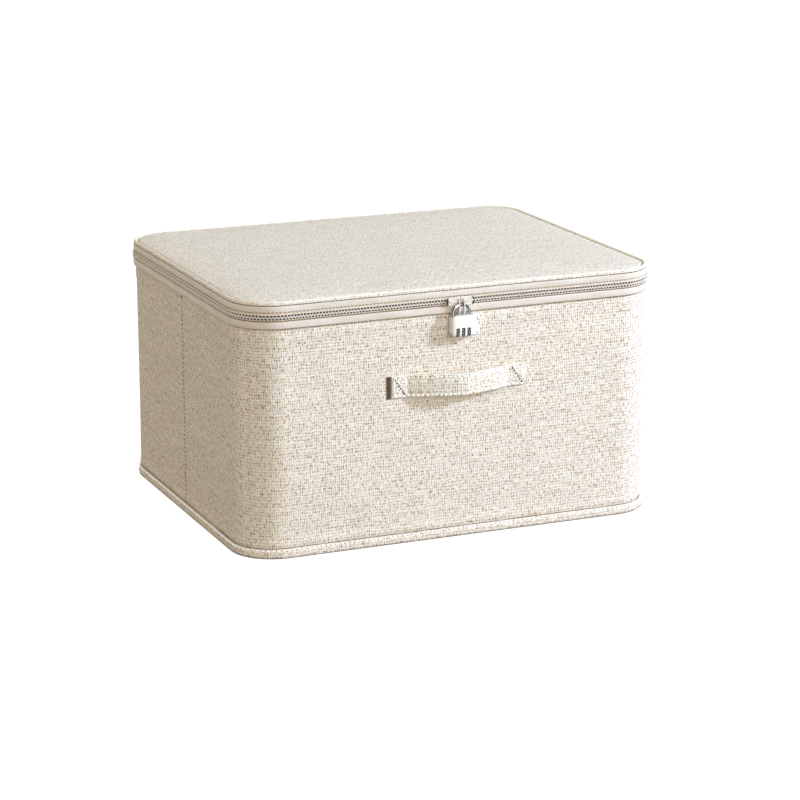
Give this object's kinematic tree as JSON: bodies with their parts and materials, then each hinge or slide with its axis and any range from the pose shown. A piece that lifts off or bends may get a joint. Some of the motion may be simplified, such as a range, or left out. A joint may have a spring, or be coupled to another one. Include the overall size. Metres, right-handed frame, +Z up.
{
  "type": "clothes storage box",
  "caption": "Rectangular linen storage box with a padded zip-round lid hinged at the rear, a front strap handle and a small combination padlock tying the zip sliders together.",
  "frame": {"origin": "centre of the base, on the surface that the box stands on", "axes": "+X to the right of someone who faces the front, +Y from the front to the rear, +Z up"},
  "size_m": [0.5082, 0.4314, 0.2885],
  "materials": {
    "linen": "plain-woven slubby linen",
    "satin_band": "smooth satin ribbon",
    "zip_tape": "woven tape",
    "zip_plastic": "moulded coil",
    "lining_cloth": "non-woven cloth",
    "wall_sheet": "smooth sheet",
    "board": "pressed board",
    "padding": "soft padding",
    "enamelled_zinc": "pearl enamel",
    "polished_steel": "polished",
    "spring_steel": "drawn",
    "dial_plastic": "moulded"
  },
  "bodies": {
    "box": {"front_cover": "linen", "rear_cover": "linen", "front_wall_sheet": "wall_sheet", "rear_wall_sheet": "wall_sheet", "lining": "lining_cloth", "base_cover": "linen", "base_board": "board", "bottom_hem": "linen", "lower_band": "satin_band", "handle_strap": "linen", "lower_zip_tape": "zip_tape", "lower_zip_teeth": "zip_plastic", "lower_hinge_strip": "linen"},
    "lid": {"lid_top_panel": "linen", "lid_foam": "padding", "lid_board": "board", "lid_lining": "lining_cloth", "lid_side_wall": "wall_sheet", "lid_bead": "linen", "upper_band": "satin_band", "upper_zip_tape": "zip_tape", "upper_zip_teeth": "zip_plastic", "upper_hinge_strip": "linen"},
    "left_slider": {"left_slider": "enamelled_zinc"},
    "right_slider": {"right_slider": "enamelled_zinc"},
    "left_pull": {"left_pull": "enamelled_zinc"},
    "right_pull": {"right_pull": "enamelled_zinc"},
    "shackle": {"shackle": "polished_steel"},
    "lock_case": {"lock_case": "enamelled_zinc", "lock_back_cover": "enamelled_zinc", "dial_axle": "spring_steel", "detent_spring": "spring_steel", "shackle_spring": "spring_steel"},
    "dial_1": {"dial_1": "dial_plastic"},
    "dial_2": {"dial_2": "dial_plastic"},
    "dial_3": {"dial_3": "dial_plastic"},
    "latch": {"latch_plate": "spring_steel"},
    "reset_pin": {"reset_pin": "spring_steel"}
  },
  "joints": [
    {"name": "lid_hinge", "type": "hinge", "parent": "box", "child": "lid", "pos_m": [0, 0.2099, 0.2708], "axis": [-1, 0, 0], "range_deg": [0, 180]},
    {"name": "left_slider_slide", "type": "slide", "parent": "box", "child": "left_slider", "axis": [1, 0, 0], "range_m": [-0.18, 0.18]},
    {"name": "right_slider_slide", "type": "slide", "parent": "box", "child": "right_slider", "axis": [1, 0, 0], "range_m": [-0.18, 0.18]},
    {"name": "left_pull_swing", "type": "hinge", "parent": "left_slider", "child": "left_pull", "pos_m": [-0.003, -0.214, 0.2718], "axis": [-1, 0, 0], "range_deg": [0, 90]},
    {"name": "right_pull_swing", "type": "hinge", "parent": "right_slider", "child": "right_pull", "pos_m": [0.003, -0.214, 0.2718], "axis": [-1, 0, 0], "range_deg": [0, 90]},
    {"name": "lock_swing", "type": "hinge", "parent": "left_pull", "child": "shackle", "pos_m": [0, -0.214, 0.2672], "axis": [-1, 0, 0], "range_deg": [-2, 60]},
    {"name": "case_slide", "type": "slide", "parent": "shackle", "child": "lock_case", "axis": [0, 0, -1], "range_m": [0, 0.006], "deforming": ["shackle_spring"]},
    {"name": "dial_1_spin", "type": "hinge", "parent": "lock_case", "child": "dial_1", "pos_m": [-0.0067, -0.2154, 0.23686], "axis": [1, 0, 0], "continuous": true},
    {"name": "dial_2_spin", "type": "hinge", "parent": "lock_case", "child": "dial_2", "pos_m": [0, -0.2154, 0.23686], "axis": [1, 0, 0], "continuous": true},
    {"name": "dial_3_spin", "type": "hinge", "parent": "lock_case", "child": "dial_3", "pos_m": [0.0067, -0.2154, 0.23686], "axis": [1, 0, 0], "continuous": true},
    {"name": "latch_slide", "type": "slide", "parent": "lock_case", "child": "latch", "axis": [1, 0, 0], "range_m": [0, 0.0019]},
    {"name": "reset_press", "type": "slide", "parent": "lock_case", "child": "reset_pin", "axis": [0, 1, 0], "range_m": [0, 0.0008], "stiffness_N_per_m": 200}
  ],
  "couplings": [
    {"joint": "right_slider_slide", "follows": "left_slider_slide", "ratio": 1},
    {"joint": "right_pull_swing", "follows": "left_pull_swing", "ratio": 1},
    {"joint": "latch_slide", "follows": "case_slide", "ratio": 0.3}
  ]
}
